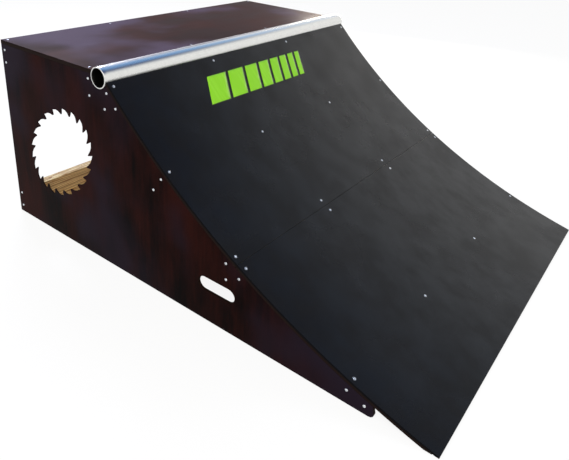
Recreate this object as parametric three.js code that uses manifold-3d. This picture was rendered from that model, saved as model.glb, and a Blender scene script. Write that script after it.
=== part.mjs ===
// A quarter pipe skate ramp: two thin plywood side panels with a slanted saw-blade cut-out and a hand
// slot, pine joists between them, a ride surface of two bent layers, a flat deck and a steel coping pipe.
// Millimetres, +Z up. The ride surface faces -Y and the ground is Z = 0.

import * as THREE from 'three';
import { mergeVertices } from 'three/addons/utils/BufferGeometryUtils.js';
import Module from 'manifold-3d';

const wasm = await Module();
wasm.setup();

// Driving dimensions of the whole ramp
const RAMP_WIDTH = 1200;
const DECK_HEIGHT = 600;
const COPING_SETBACK = 478.6;
const RIDE_RADIUS = 2098;
const RIDE_ARC_SINK = 49.9;
const NOSE_HEIGHT = 34.5;

// Sheet goods and timber
const PANEL_THICKNESS = 9;
const DECK_THICKNESS = 12;
const RIDE_SHEET_THICKNESS = 6;
const UNDERLAY_THICKNESS = 6;
const TIMBER_WIDTH = 90;
const TIMBER_THICKNESS = 35;
const BATTEN_WIDTH = 45;
const TIMBER_EDGE_RADIUS = 3;

// Clearances
const SEAT_GAP = 0.3;
const COPING_BUTT_GAP = 0.6;
const SEAM_GAP = 1;
const CUT_OVERRUN = 4;

// Coping pipe and the tabs welded behind it
const COPING_DIAMETER = 60.3;
const COPING_WALL = 3.6;
const COPING_RISE = 15;
const COPING_REVEAL = 13.3;
const COPING_OVERHANG = 5;
const COPING_TAB_COUNT = 3;
const COPING_TAB_WIDTH = 40;
const COPING_TAB_THICKNESS = 4;
const COPING_TAB_DROP = 8;
const COPING_TAB_LENGTH = 58;
const COPING_TAB_SCREWS = 2;
const COPING_TAB_SCREW_INSET = 11;
const COPING_TAB_SCREW_SPACING = 26;

// Side panel: the nose, the hand slot and the saw-blade cut-out
const NOSE_CORNER_RADIUS = 12;
const NOSE_LEAN = 5;
const SLOT_SEAM_OFFSET = 67.5;
const SLOT_CENTRE_HEIGHT = 114;
const SLOT_LENGTH = 122;
const SLOT_HEIGHT = 38;
const SLOT_EASING = 2.5;
const BLADE_SETBACK = 264.3;
const BLADE_CENTRE_HEIGHT = 296.4;
const BLADE_TIP_RADIUS = 155.7;
const BLADE_TOOTH_DEPTH = 20;
const BLADE_TEETH = 21;
const BLADE_FIRST_TOOTH_ANGLE = THREE.MathUtils.degToRad(-1.8);
const BLADE_REACH_SHARE = 0.961;
const BLADE_SLANT_SHARE = 0.36;
const BLADE_LIP_THICKNESS = 3;
const BLADE_RELIEF_WIDTH = 15;

// One tooth of the cut-out, from its tip round to the next: turns as shares of the pitch, and how far
// in from the tip circle each point lies as shares of the tooth depth
const TOOTH_TURN_SHARES = [0, 0.39, 0.62, 0.74, 0.85, 0.95, 1.01, 1.03];
const TOOTH_INSET_SHARES = [0, 0.19, 0.45, 0.65, 0.85, 0.98, 1, 0.82];

// Joists and the seam in the ride surface: where two of them stand, as shares of the ride arc from the
// coping down to the toe
const MID_JOIST_ARC_SHARE = 0.245;
const SEAM_ARC_SHARE = 0.495;
const TOE_TIP_HEIGHT = 4;
const UNDERLAY_LIP_HEIGHT = 1.5;
const NOSE_JOIST_GROUND_CLEARANCE = 2;

// Screws and the rows that they stand in
const SCREW_HEAD_DIAMETER = 8;
const SCREW_HEAD_DEPTH = 2.6;
const SCREW_SHANK_DIAMETER = 4.2;
const SCREW_LENGTH = 40;
const TAB_SCREW_LENGTH = 25;
const SCREW_POINT_LENGTH = 5;
const SCREW_DRIVE_DIAMETER = 3.4;
const SCREW_DRIVE_DEPTH = 1.6;
const SCREW_COLUMNS = 4;
const SCREW_COLUMN_INSET = 14;
const TOP_SCREW_EDGE_INSET = 11;
const SEAM_SCREW_OFFSET = 19.5;
const NOSE_SCREW_OFFSET = 17;
const DECK_FRONT_SCREW_INSET = 27;

// Facet counts
const RIDE_ARC_STEPS = 22;
const COPING_SIDES = 48;
const NOTCH_STEPS = 14;
const SLOT_END_STEPS = 10;
const CORNER_STEPS = 3;
const RELIEF_STEPS = 48;
const SCREW_SIDES = 10;

// The side view: X runs forward from the back of the ramp, Y up, and Z across from the right-hand face
const FULL_TURN = THREE.MathUtils.degToRad(360);
const COPING_RADIUS = COPING_DIAMETER / 2;
const coping = new THREE.Vector2(COPING_SETBACK, DECK_HEIGHT + COPING_RISE - COPING_RADIUS);
const underlayRadius = RIDE_RADIUS + RIDE_SHEET_THICKNESS + SEAT_GAP;
const panelArcRadius = underlayRadius + UNDERLAY_THICKNESS + SEAT_GAP;
const joistRadius = panelArcRadius;
const copingOrbit = RIDE_RADIUS + COPING_RADIUS - COPING_REVEAL;
const rideCentre = centreOfRideArc();
const panelLength = rideCentre.x - reachAtHeight(panelArcRadius, NOSE_HEIGHT) + NOSE_LEAN;
const copingAngle = Math.atan2(rideCentre.x - coping.x, rideCentre.y - coping.y);
const deckUnderside = DECK_HEIGHT - DECK_THICKNESS;
const deckFront = COPING_SETBACK - COPING_RADIUS - SEAT_GAP;
const headAngle = angleAtCoping(RIDE_RADIUS, COPING_BUTT_GAP);
const toeAngle = angleAtHeight(RIDE_RADIUS, TOE_TIP_HEIGHT);
const rampLength = ridePoint(RIDE_RADIUS, toeAngle).x;
const midJoistAngle = THREE.MathUtils.lerp(headAngle, toeAngle, MID_JOIST_ARC_SHARE);
const seamAngle = THREE.MathUtils.lerp(headAngle, toeAngle, SEAM_ARC_SHARE);
const slotSetback = ridePoint(RIDE_RADIUS, seamAngle).x - SLOT_SEAM_OFFSET;
const joistLength = RAMP_WIDTH - PANEL_THICKNESS - PANEL_THICKNESS;
const topJoistAngle = copingAngle - Math.asin((TIMBER_WIDTH / 2 + COPING_RADIUS + SEAT_GAP) / copingOrbit);
const noseJoistAngle = angleOfNoseJoist();

// The centre of the ride arc: carried on, the arc would sink below the ground by its sink, and the
// coping stands proud of it by the reveal.
function centreOfRideArc() {
  const height = RIDE_RADIUS - RIDE_ARC_SINK;
  const reach = Math.sqrt(copingOrbit ** 2 - (height - coping.y) ** 2);
  return new THREE.Vector2(coping.x + reach, height);
}

// How far behind the centre an arc of this radius is at this height
function reachAtHeight(radius, height) {
  return Math.sqrt(radius ** 2 - (rideCentre.y - height) ** 2);
}

// Angles on the ride arc are taken at its centre from straight down, growing towards the coping.
function ridePoint(radius, angle) {
  const reach = new THREE.Vector2(-Math.sin(angle), -Math.cos(angle));
  return rideCentre.clone().addScaledVector(reach, radius);
}

function angleAtHeight(radius, height) {
  return Math.acos((rideCentre.y - height) / radius);
}

// Where the arc of this radius meets a circle round the coping
function angleAtCoping(radius, gap) {
  const reach = COPING_RADIUS + gap;
  const cosine = (radius ** 2 + copingOrbit ** 2 - reach ** 2) / (2 * radius * copingOrbit);
  return copingAngle - Math.acos(cosine);
}

// The nose joist lies as far forward as its lower front corner's ground clearance allows.
function angleOfNoseJoist() {
  const depth = joistRadius + TIMBER_THICKNESS;
  const halfWidth = TIMBER_WIDTH / 2;
  const corner = Math.hypot(depth, halfWidth);
  const lean = Math.atan2(halfWidth, depth);
  return lean + Math.acos((rideCentre.y - NOSE_JOIST_GROUND_CLEARANCE) / corner);
}

function arcPoints(radius, fromAngle, toAngle, steps) {
  const points = [];
  for (let i = 0; i <= steps; i += 1) {
    points.push(ridePoint(radius, THREE.MathUtils.lerp(fromAngle, toAngle, i / steps)));
  }
  return points;
}

function roundPoints(centre, radius, fromAngle, toAngle, steps) {
  const points = [];
  for (let i = 0; i <= steps; i += 1) {
    const angle = THREE.MathUtils.lerp(fromAngle, toAngle, i / steps);
    points.push(new THREE.Vector2(centre.x + radius * Math.cos(angle), centre.y + radius * Math.sin(angle)));
  }
  return points;
}

// Finishes
function finish(colour, roughness, metalness) {
  return new THREE.MeshStandardMaterial({ color: colour, roughness, metalness });
}

const filmPly = finish('#26141a', 0.35, 0);
const deckPly = finish('#54444c', 0.35, 0);
const rideSheet = finish('#202127', 0.5, 0);
const underlayPly = finish('#2b1d1a', 0.6, 0);
const pine = finish('#d8b683', 0.7, 0);
const galvanised = finish('#c6c9cd', 0.3, 1);
const zincPlate = finish('#cfd0d2', 0.35, 1);

// Closed meshes into solids for joining and cutting, and back
function toSolid(geometry) {
  const bare = geometry.clone();
  bare.deleteAttribute('normal');
  bare.deleteAttribute('uv');
  const merged = mergeVertices(bare);
  const vertProperties = new Float32Array(merged.attributes.position.array);
  const triVerts = new Uint32Array(merged.index.array);
  return new wasm.Manifold(new wasm.Mesh({ numProp: 3, vertProperties, triVerts }));
}

function toGeometry(solid) {
  const mesh = solid.getMesh();
  const geometry = new THREE.BufferGeometry();
  geometry.setAttribute('position', new THREE.BufferAttribute(mesh.vertProperties, 3));
  geometry.setIndex(new THREE.BufferAttribute(mesh.triVerts, 1));
  geometry.computeVertexNormals();
  return geometry;
}

function extrude(shape, depth) {
  return new THREE.ExtrudeGeometry(shape, { depth, bevelEnabled: false });
}

// A point of the saw-blade cut-out: drawn together lengthwise and leaning forward by its slant
function bladePoint(radius, angle) {
  const rise = radius * Math.sin(angle);
  const reach = radius * Math.cos(angle) * BLADE_REACH_SHARE + rise * BLADE_SLANT_SHARE;
  return new THREE.Vector2(BLADE_SETBACK + reach, BLADE_CENTRE_HEIGHT + rise);
}

// The saw-blade outline, clockwise in the side view
function bladeOutline() {
  const pitch = FULL_TURN / BLADE_TEETH;
  const points = [];
  for (let tooth = 0; tooth < BLADE_TEETH; tooth += 1) {
    TOOTH_TURN_SHARES.forEach((turnShare, i) => {
      const angle = BLADE_FIRST_TOOTH_ANGLE - pitch * (tooth + turnShare);
      points.push(bladePoint(BLADE_TIP_RADIUS - BLADE_TOOTH_DEPTH * TOOTH_INSET_SHARES[i], angle));
    });
  }
  return points;
}

// Behind the teeth the panel is thinned to a lip, out to a plain edge beyond the tips.
function bladeRelief(fromZ) {
  const points = [];
  for (let step = 0; step < RELIEF_STEPS; step += 1) {
    points.push(bladePoint(BLADE_TIP_RADIUS + BLADE_RELIEF_WIDTH, (FULL_TURN * step) / RELIEF_STEPS));
  }
  const depth = PANEL_THICKNESS - BLADE_LIP_THICKNESS + CUT_OVERRUN;
  return toSolid(extrude(new THREE.Shape(points), depth).translate(0, 0, fromZ));
}

function slotOutline() {
  const radius = SLOT_HEIGHT / 2;
  const reach = SLOT_LENGTH / 2 - radius;
  const front = new THREE.Vector2(slotSetback + reach, SLOT_CENTRE_HEIGHT);
  const back = new THREE.Vector2(slotSetback - reach, SLOT_CENTRE_HEIGHT);
  const quarter = Math.PI / 2;
  return [
    ...roundPoints(front, radius, -quarter, quarter, SLOT_END_STEPS),
    ...roundPoints(back, radius, quarter, Math.PI + quarter, SLOT_END_STEPS),
  ];
}

// The panel's edge: flat foot and back, a round-cornered nose that leans back, the arc under the ride
// surface and a notch that the coping lies in
function panelOutline() {
  const quarter = Math.PI / 2;
  const corner = new THREE.Vector2(panelLength - NOSE_CORNER_RADIUS, NOSE_CORNER_RADIUS);
  const noseAngle = angleAtHeight(panelArcRadius, NOSE_HEIGHT);
  const notchRadius = COPING_RADIUS + SEAT_GAP;
  const notchStart = angleAtCoping(panelArcRadius, SEAT_GAP);
  const arcEnd = ridePoint(panelArcRadius, notchStart);
  const fromAngle = Math.atan2(arcEnd.y - coping.y, arcEnd.x - coping.x);
  const toAngle = -Math.PI + Math.asin((coping.y - deckUnderside) / notchRadius);
  return [
    new THREE.Vector2(0, 0),
    ...roundPoints(corner, NOSE_CORNER_RADIUS, -quarter, 0, CORNER_STEPS),
    ...arcPoints(panelArcRadius, noseAngle, notchStart, RIDE_ARC_STEPS),
    ...roundPoints(coping, notchRadius, fromAngle, toAngle, NOTCH_STEPS).slice(1),
    new THREE.Vector2(0, deckUnderside),
  ];
}

// The slot's edges are eased on both faces: each cutter widens towards its face.
function slotEasing(face) {
  const shape = new THREE.Shape(slotOutline());
  const cutter = new THREE.ExtrudeGeometry(shape, {
    depth: CUT_OVERRUN,
    bevelThickness: SLOT_EASING,
    bevelSize: SLOT_EASING,
    bevelSegments: 1,
  });
  const far = face === 0 ? -CUT_OVERRUN : PANEL_THICKNESS;
  cutter.translate(0, 0, far);
  return toSolid(cutter);
}

function sidePanel(name, fromZ, reliefFromZ) {
  const shape = new THREE.Shape(panelOutline());
  const through = PANEL_THICKNESS + CUT_OVERRUN + CUT_OVERRUN;
  const blade = extrude(new THREE.Shape(bladeOutline()), through).translate(0, 0, -CUT_OVERRUN);
  const slot = extrude(new THREE.Shape(slotOutline()), through).translate(0, 0, -CUT_OVERRUN);
  let panel = toSolid(extrude(shape, PANEL_THICKNESS));
  panel = panel.subtract(toSolid(blade));
  panel = panel.subtract(bladeRelief(reliefFromZ));
  panel = panel.subtract(toSolid(slot));
  panel = panel.subtract(slotEasing(0));
  panel = panel.subtract(slotEasing(PANEL_THICKNESS));
  const mesh = new THREE.Mesh(toGeometry(panel), filmPly);
  mesh.name = name;
  mesh.position.z = fromZ;
  return mesh;
}

// A bent layer between two radii, from one angle down to another
function bentLayer(name, radius, thickness, fromAngles, toAngle, material) {
  const upper = arcPoints(radius, fromAngles.upper, toAngle, RIDE_ARC_STEPS);
  const lower = arcPoints(radius + thickness, toAngle, fromAngles.lower, RIDE_ARC_STEPS);
  const mesh = new THREE.Mesh(extrude(new THREE.Shape([...upper, ...lower]), RAMP_WIDTH), material);
  mesh.name = name;
  return mesh;
}

// The layer that reaches the ground: its underside is planed level there, and its tip is cut upright.
function toeLayer(name, radius, thickness, fromAngle, tipHeight, material) {
  const tipAngle = angleAtHeight(radius, tipHeight);
  const upper = arcPoints(radius, fromAngle, tipAngle, RIDE_ARC_STEPS);
  const tip = new THREE.Vector2(upper[upper.length - 1].x, 0);
  const groundAngle = angleAtHeight(radius + thickness, 0);
  const lower = arcPoints(radius + thickness, groundAngle, fromAngle, RIDE_ARC_STEPS);
  const outline = new THREE.Shape([...upper, tip, ...lower]);
  const mesh = new THREE.Mesh(extrude(outline, RAMP_WIDTH), material);
  mesh.name = name;
  return mesh;
}

function copingEnds(radius, thickness) {
  return {
    upper: angleAtCoping(radius, COPING_BUTT_GAP),
    lower: angleAtCoping(radius + thickness, COPING_BUTT_GAP),
  };
}

const halfSeamTurn = SEAM_GAP / 2 / RIDE_RADIUS;

function rideLayers() {
  const above = seamAngle + halfSeamTurn;
  const below = seamAngle - halfSeamTurn;
  const skinEnds = copingEnds(RIDE_RADIUS, RIDE_SHEET_THICKNESS);
  const underEnds = copingEnds(underlayRadius, UNDERLAY_THICKNESS);
  return [
    bentLayer('ride_sheet_upper', RIDE_RADIUS, RIDE_SHEET_THICKNESS, skinEnds, above, rideSheet),
    toeLayer('ride_sheet_lower', RIDE_RADIUS, RIDE_SHEET_THICKNESS, below, TOE_TIP_HEIGHT, rideSheet),
    bentLayer('underlay_upper', underlayRadius, UNDERLAY_THICKNESS, underEnds, above, underlayPly),
    toeLayer('underlay_lower', underlayRadius, UNDERLAY_THICKNESS, below, UNDERLAY_LIP_HEIGHT, underlayPly),
  ];
}

function deckPanel() {
  const shape = new THREE.Shape([
    new THREE.Vector2(0, deckUnderside),
    new THREE.Vector2(deckFront, deckUnderside),
    new THREE.Vector2(deckFront, DECK_HEIGHT),
    new THREE.Vector2(0, DECK_HEIGHT),
  ]);
  const mesh = new THREE.Mesh(extrude(shape, RAMP_WIDTH), deckPly);
  mesh.name = 'deck_panel';
  return mesh;
}

// Planed timber with eased edges: its width lies along its own X and its thickness along Y.
function joist(name, centre, turn, width = TIMBER_WIDTH) {
  const quarter = Math.PI / 2;
  const reach = width / 2 - TIMBER_EDGE_RADIUS;
  const rise = TIMBER_THICKNESS / 2 - TIMBER_EDGE_RADIUS;
  const corners = [
    new THREE.Vector2(reach, rise),
    new THREE.Vector2(-reach, rise),
    new THREE.Vector2(-reach, -rise),
    new THREE.Vector2(reach, -rise),
  ];
  const outline = corners.flatMap((corner, i) => (
    roundPoints(corner, TIMBER_EDGE_RADIUS, quarter * i, quarter * (i + 1), CORNER_STEPS)
  ));
  const mesh = new THREE.Mesh(extrude(new THREE.Shape(outline), joistLength), pine);
  mesh.name = name;
  mesh.position.set(centre.x, centre.y, PANEL_THICKNESS);
  mesh.rotation.z = turn;
  return mesh;
}

function uprightJoist(name, backX, footY) {
  const centre = new THREE.Vector2(backX + TIMBER_THICKNESS / 2, footY + TIMBER_WIDTH / 2);
  return joist(name, centre, Math.PI / 2);
}

// Under the ride surface a joist lies flat against the layers, or stands on edge square to them. A
// batten of half the width stands under each flat one, where two sheets or the coping meet.
function flatJoist(name, angle) {
  return joist(name, ridePoint(joistRadius + TIMBER_THICKNESS / 2, angle), -angle);
}

function edgeJoist(name, angle) {
  return joist(name, ridePoint(joistRadius + TIMBER_WIDTH / 2, angle), Math.PI / 2 - angle);
}

function batten(name, angle) {
  const depth = TIMBER_THICKNESS + SEAT_GAP + BATTEN_WIDTH / 2;
  return joist(name, ridePoint(joistRadius + depth, angle), Math.PI / 2 - angle, BATTEN_WIDTH);
}

function joists() {
  const railFoot = deckUnderside - TIMBER_WIDTH;
  return [
    uprightJoist('back_top_rail', 0, railFoot),
    uprightJoist('back_bottom_rail', 0, 0),
    uprightJoist('deck_front_joist', deckFront - TIMBER_THICKNESS, railFoot),
    flatJoist('top_flat_joist', topJoistAngle),
    batten('top_batten', topJoistAngle),
    edgeJoist('mid_joist', midJoistAngle),
    flatJoist('seam_flat_joist', seamAngle),
    batten('seam_batten', seamAngle),
    flatJoist('nose_joist', noseJoistAngle),
  ];
}

// Tabs are spread evenly across the ramp, half a bay in from each side.
function tabCentre(i) {
  return RAMP_WIDTH * ((i + 1 / 2) / COPING_TAB_COUNT);
}

const tabBack = deckFront + SEAT_GAP;
const tabTop = coping.y - COPING_TAB_DROP;
const tabFoot = tabTop - COPING_TAB_LENGTH;

function copingTab(i) {
  const shape = new THREE.Shape([
    new THREE.Vector2(tabBack, tabFoot),
    new THREE.Vector2(tabBack + COPING_TAB_THICKNESS, tabFoot),
    new THREE.Vector2(tabBack + COPING_TAB_THICKNESS, tabTop),
    new THREE.Vector2(tabBack, tabTop),
  ]);
  const fromZ = tabCentre(i) - COPING_TAB_WIDTH / 2;
  return toSolid(extrude(shape, COPING_TAB_WIDTH).translate(0, 0, fromZ));
}

function copingPipe() {
  const length = RAMP_WIDTH + COPING_OVERHANG + COPING_OVERHANG;
  const turn = 2 * Math.PI;
  const ring = new THREE.Shape(roundPoints(coping, COPING_RADIUS, 0, turn, COPING_SIDES).slice(1));
  const bore = roundPoints(coping, COPING_RADIUS - COPING_WALL, 0, turn, COPING_SIDES).slice(1);
  ring.holes.push(new THREE.Path(bore));
  let pipe = toSolid(extrude(ring, length).translate(0, 0, -COPING_OVERHANG));
  for (let i = 0; i < COPING_TAB_COUNT; i += 1) {
    pipe = pipe.add(copingTab(i));
  }
  const mesh = new THREE.Mesh(toGeometry(pipe), galvanised);
  mesh.name = 'coping_pipe';
  return mesh;
}

// A screw stands along its own Y, with the top of its head at the origin.
function screwGeometry(length) {
  const shank = SCREW_SHANK_DIAMETER / 2;
  const profile = [
    new THREE.Vector2(0, -length),
    new THREE.Vector2(shank, SCREW_POINT_LENGTH - length),
    new THREE.Vector2(shank, -SCREW_HEAD_DEPTH),
    new THREE.Vector2(SCREW_HEAD_DIAMETER / 2, 0),
    new THREE.Vector2(SCREW_DRIVE_DIAMETER / 2, 0),
    new THREE.Vector2(0, -SCREW_DRIVE_DEPTH),
  ];
  return new THREE.LatheGeometry(profile, SCREW_SIDES);
}

// The hole for it: a countersink and a bore, larger all round by the seat gap
function screwHole(length) {
  const shank = SCREW_SHANK_DIAMETER / 2 + SEAT_GAP;
  const head = SCREW_HEAD_DIAMETER / 2 + SEAT_GAP;
  const profile = [
    new THREE.Vector2(0, -length - SEAT_GAP),
    new THREE.Vector2(shank, -length - SEAT_GAP),
    new THREE.Vector2(shank, -SCREW_HEAD_DEPTH),
    new THREE.Vector2(head, 0),
    new THREE.Vector2(head, CUT_OVERRUN),
    new THREE.Vector2(0, CUT_OVERRUN),
  ];
  return new THREE.LatheGeometry(profile, SCREW_SIDES);
}

function columnCentre(i) {
  const spread = RAMP_WIDTH - SCREW_COLUMN_INSET - SCREW_COLUMN_INSET;
  return SCREW_COLUMN_INSET + (spread * i) / (SCREW_COLUMNS - 1);
}

function place(point, across, turn) {
  const at = new THREE.Matrix4().makeTranslation(point.x, point.y, across);
  return at.multiply(new THREE.Matrix4().makeRotationZ(turn));
}

// One row of screws across the ramp
function screwRow(name, point, turn) {
  return Array.from({ length: SCREW_COLUMNS }, (_, i) => ({
    name: `${name}_${i + 1}`,
    length: SCREW_LENGTH,
    matrix: place(point, columnCentre(i), turn),
  }));
}

function rideRow(name, angle) {
  return screwRow(name, ridePoint(RIDE_RADIUS, angle), -angle);
}

const rideScrews = [
  ...rideRow('top_screw', topJoistAngle + (TIMBER_WIDTH / 2 - TOP_SCREW_EDGE_INSET) / joistRadius),
  ...rideRow('mid_screw', midJoistAngle),
  ...rideRow('seam_upper_screw', seamAngle + SEAM_SCREW_OFFSET / RIDE_RADIUS),
  ...rideRow('seam_lower_screw', seamAngle - SEAM_SCREW_OFFSET / RIDE_RADIUS),
  ...rideRow('nose_screw', noseJoistAngle + NOSE_SCREW_OFFSET / RIDE_RADIUS),
];

const deckScrews = [
  ...screwRow('deck_back_screw', new THREE.Vector2(TIMBER_THICKNESS / 2, DECK_HEIGHT), 0),
  ...screwRow('deck_front_screw', new THREE.Vector2(deckFront - DECK_FRONT_SCREW_INSET, DECK_HEIGHT), 0),
];

// The screws through each tab into the joist behind it, driven from the front
function tabScrews() {
  const driven = [];
  for (let i = 0; i < COPING_TAB_COUNT; i += 1) {
    for (let row = 0; row < COPING_TAB_SCREWS; row += 1) {
      const height = tabFoot + COPING_TAB_SCREW_INSET + row * COPING_TAB_SCREW_SPACING;
      const point = new THREE.Vector2(tabBack + COPING_TAB_THICKNESS, height);
      driven.push({
        name: `tab_screw_${i + 1}_${row + 1}`,
        length: TAB_SCREW_LENGTH,
        matrix: place(point, tabCentre(i), -Math.PI / 2),
      });
    }
  }
  return driven;
}

const screws = [...rideScrews, ...deckScrews, ...tabScrews()];

// Each sheet and joist is bored where a screw's hole passes through its box.
function boreForScrews(mesh) {
  mesh.updateMatrix();
  const inward = mesh.matrix.clone().invert();
  mesh.geometry.computeBoundingBox();
  let solid = toSolid(mesh.geometry);
  screws.forEach((screw) => {
    const hole = screwHole(screw.length);
    hole.applyMatrix4(inward.clone().multiply(screw.matrix));
    hole.computeBoundingBox();
    if (hole.boundingBox.intersectsBox(mesh.geometry.boundingBox)) {
      solid = solid.subtract(toSolid(hole));
    }
  });
  mesh.geometry = toGeometry(solid);
  return mesh;
}

function screwMesh(screw) {
  const mesh = new THREE.Mesh(screwGeometry(screw.length), zincPlate);
  mesh.name = screw.name;
  mesh.applyMatrix4(screw.matrix);
  return mesh;
}

// The ramp, turned from the side view to stand on the ground with its middle over the origin
const ramp = new THREE.Group();
const forward = new THREE.Vector3(0, -1, 0);
const up = new THREE.Vector3(0, 0, 1);
const across = new THREE.Vector3(-1, 0, 0);
ramp.quaternion.setFromRotationMatrix(new THREE.Matrix4().makeBasis(forward, up, across));
ramp.position.set(RAMP_WIDTH / 2, rampLength / 2, 0);

const frame = new THREE.Group();
frame.add(sidePanel('side_panel_right', 0, BLADE_LIP_THICKNESS));
frame.add(sidePanel('side_panel_left', RAMP_WIDTH - PANEL_THICKNESS, -CUT_OVERRUN));
frame.add(...joists().map(boreForScrews));

const skin = new THREE.Group();
skin.add(boreForScrews(deckPanel()));
skin.add(...rideLayers().map(boreForScrews));
skin.add(boreForScrews(copingPipe()));

const fasteners = new THREE.Group();
fasteners.add(...screws.map(screwMesh));

ramp.add(frame, skin, fasteners);

export default ramp;
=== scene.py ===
# A quarter pipe skate ramp, in the order in which it is put together. Metres, +Z up: the ride surface
# faces -Y, the open back faces +Y, and the left side panel faces -X.

import math

import bmesh
import bpy
import numpy as np
from mathutils import Matrix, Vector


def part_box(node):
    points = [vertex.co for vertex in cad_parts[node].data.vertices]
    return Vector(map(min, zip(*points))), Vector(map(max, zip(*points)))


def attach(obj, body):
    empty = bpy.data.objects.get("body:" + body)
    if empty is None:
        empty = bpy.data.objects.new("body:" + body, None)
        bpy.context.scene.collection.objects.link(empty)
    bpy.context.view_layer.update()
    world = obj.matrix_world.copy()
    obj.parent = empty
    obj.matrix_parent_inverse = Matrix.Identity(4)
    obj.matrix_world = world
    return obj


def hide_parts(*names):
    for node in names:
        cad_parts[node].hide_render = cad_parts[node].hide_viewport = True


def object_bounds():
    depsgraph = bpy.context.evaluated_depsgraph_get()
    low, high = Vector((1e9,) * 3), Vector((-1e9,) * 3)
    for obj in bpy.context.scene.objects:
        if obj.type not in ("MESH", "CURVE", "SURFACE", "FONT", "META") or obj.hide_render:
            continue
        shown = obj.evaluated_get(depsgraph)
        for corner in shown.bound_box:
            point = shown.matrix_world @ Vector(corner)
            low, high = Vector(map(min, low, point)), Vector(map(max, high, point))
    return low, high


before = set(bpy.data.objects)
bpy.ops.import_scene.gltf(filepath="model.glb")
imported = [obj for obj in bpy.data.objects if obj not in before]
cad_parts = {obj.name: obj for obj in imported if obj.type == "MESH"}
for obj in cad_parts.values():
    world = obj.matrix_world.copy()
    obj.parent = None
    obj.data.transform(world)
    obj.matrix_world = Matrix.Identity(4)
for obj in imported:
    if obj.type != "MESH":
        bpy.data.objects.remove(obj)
cad_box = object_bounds()

# The studio: a white floor under a sky that is white low down, hazy in front of the ramp, pale blue
# behind it and deep blue overhead, with a grey wall behind. A wide soft lamp hangs at the left, one
# behind and a weak one at the right. The camera stands where the photograph was taken from.
PHOTO_WIDTH = 569
PHOTO_HEIGHT = 460
FOCAL_PIXELS = 585.759
OPTICAL_AXIS = (273.451, 137.367)
SENSOR_WIDTH = 36.0
EYE = (-1.533680, -0.965695, 1.061305)
EYE_RIGHT = (0.60163229, -0.79684107, 0.05552437)
EYE_UP = (0.27526046, 0.27207769, 0.92206587)
EYE_BACK = (-0.74984684, -0.53946093, 0.38302954)
FRONT_HAZE = "#98a1b0"
BACK_HAZE = "#84b2e2"
FRONT_BLUE = "#203a70"
BACK_BLUE = "#5f92cc"
WALL_GREY = "#8e8a96"
ROOM_GREY = "#c4c6ca"
WHITE = "#ffffff"
PAPER = "#fbfbfb"
PAPER_GLOW = 0.9
FLOOR_REACH = 40.0

# Where the sky changes, between two values of the way one looks: along Z, the sine of the height over
# the horizon, or along Y, which grows towards the back.
SKY_BANDS = {
    "painted_sheen_share": ("Z", 0.48, 0.7),
    "overhead": ("Z", 0.66, 0.75),
    "behind": ("Y", -0.26, 0.02),
    "far behind": ("Y", 0.4, 0.62),
    "over the floor": ("Z", 0.08, 0.19),
}

# Each lamp's width and height, watts, colour, place, and turns in degrees.
LAMPS = {
    "softbox": ((3.2, 2.4), 90.0, "#fff6ea", (-2.8, -1.6, 3.4), (38, 0, -60)),
    "back lamp": ((1.0, 1.0), 110.0, "#e2e8ff", (0.7, 2.9, 2.9), (42, 0, 163)),
    "side lamp": ((1.6, 1.0), 40.0, "#fff2e4", (3.0, 1.1, 0.9), (82, 0, 110)),
}

# A Mix node's sockets share their names, so its factor, its two colours and its result go by number.
BY = 0
FROM = 6
TO = 7
MIXED = 2

scene = bpy.context.scene
scene.view_settings.view_transform = "Standard"


def linear(hex_colour):
    """An sRGB hex colour as linear RGBA: v / 12.92 below 0.04045, else ((v + 0.055) / 1.055) ** 2.4."""
    v = np.array([int(hex_colour[i : i + 2], 16) for i in (1, 3, 5)]) / 255
    rgb = np.where(v <= 0.04045, v / 12.92, ((v + 0.055) / 1.055) ** 2.4)
    return (*rgb.tolist(), 1.0)


def add(tree, kind, inputs=None, **settings):
    """One new shader node of a kind, such as Math, with its settings.

    Each input takes a value, or another node's socket as a link.
    """
    node = tree.nodes.new("ShaderNode" + kind)
    for name, value in settings.items():
        setattr(node, name, value)
    for name, value in (inputs or {}).items():
        if isinstance(value, bpy.types.NodeSocket):
            tree.links.new(value, node.inputs[name])
        else:
            node.inputs[name].default_value = value
    return node


def new_material(name):
    """A new material and its node tree, emptied."""
    material = bpy.data.materials.new(name)
    material.use_nodes = True
    material.node_tree.nodes.clear()
    return material, material.node_tree


def seen_or_mirrored(tree):
    """1 for the camera's rays and those off a gloss or through glass, and 0 for the rays that light."""
    path = add(tree, "LightPath")
    seen = add(
        tree,
        "Math",
        {0: path.outputs["Is Camera Ray"], 1: path.outputs["Is Glossy Ray"]},
        operation="ADD",
    )
    shown = add(
        tree,
        "Math",
        {0: seen.outputs[0], 1: path.outputs["Is Transmission Ray"]},
        operation="ADD",
        use_clamp=True,
    )
    return shown.outputs[0]


eye_data = bpy.data.cameras.new("photographer")
eye_data.sensor_width = SENSOR_WIDTH
eye_data.lens = FOCAL_PIXELS / PHOTO_WIDTH * SENSOR_WIDTH
eye_data.shift_x = (PHOTO_WIDTH / 2 - OPTICAL_AXIS[0]) / PHOTO_WIDTH
eye_data.shift_y = (OPTICAL_AXIS[1] - PHOTO_HEIGHT / 2) / PHOTO_WIDTH
eye = bpy.data.objects.new("photographer", eye_data)
scene.collection.objects.link(eye)
eye.matrix_world = Matrix((EYE_RIGHT, EYE_UP, EYE_BACK)).transposed().to_4x4()
eye.location = EYE
scene.camera = eye

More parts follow.
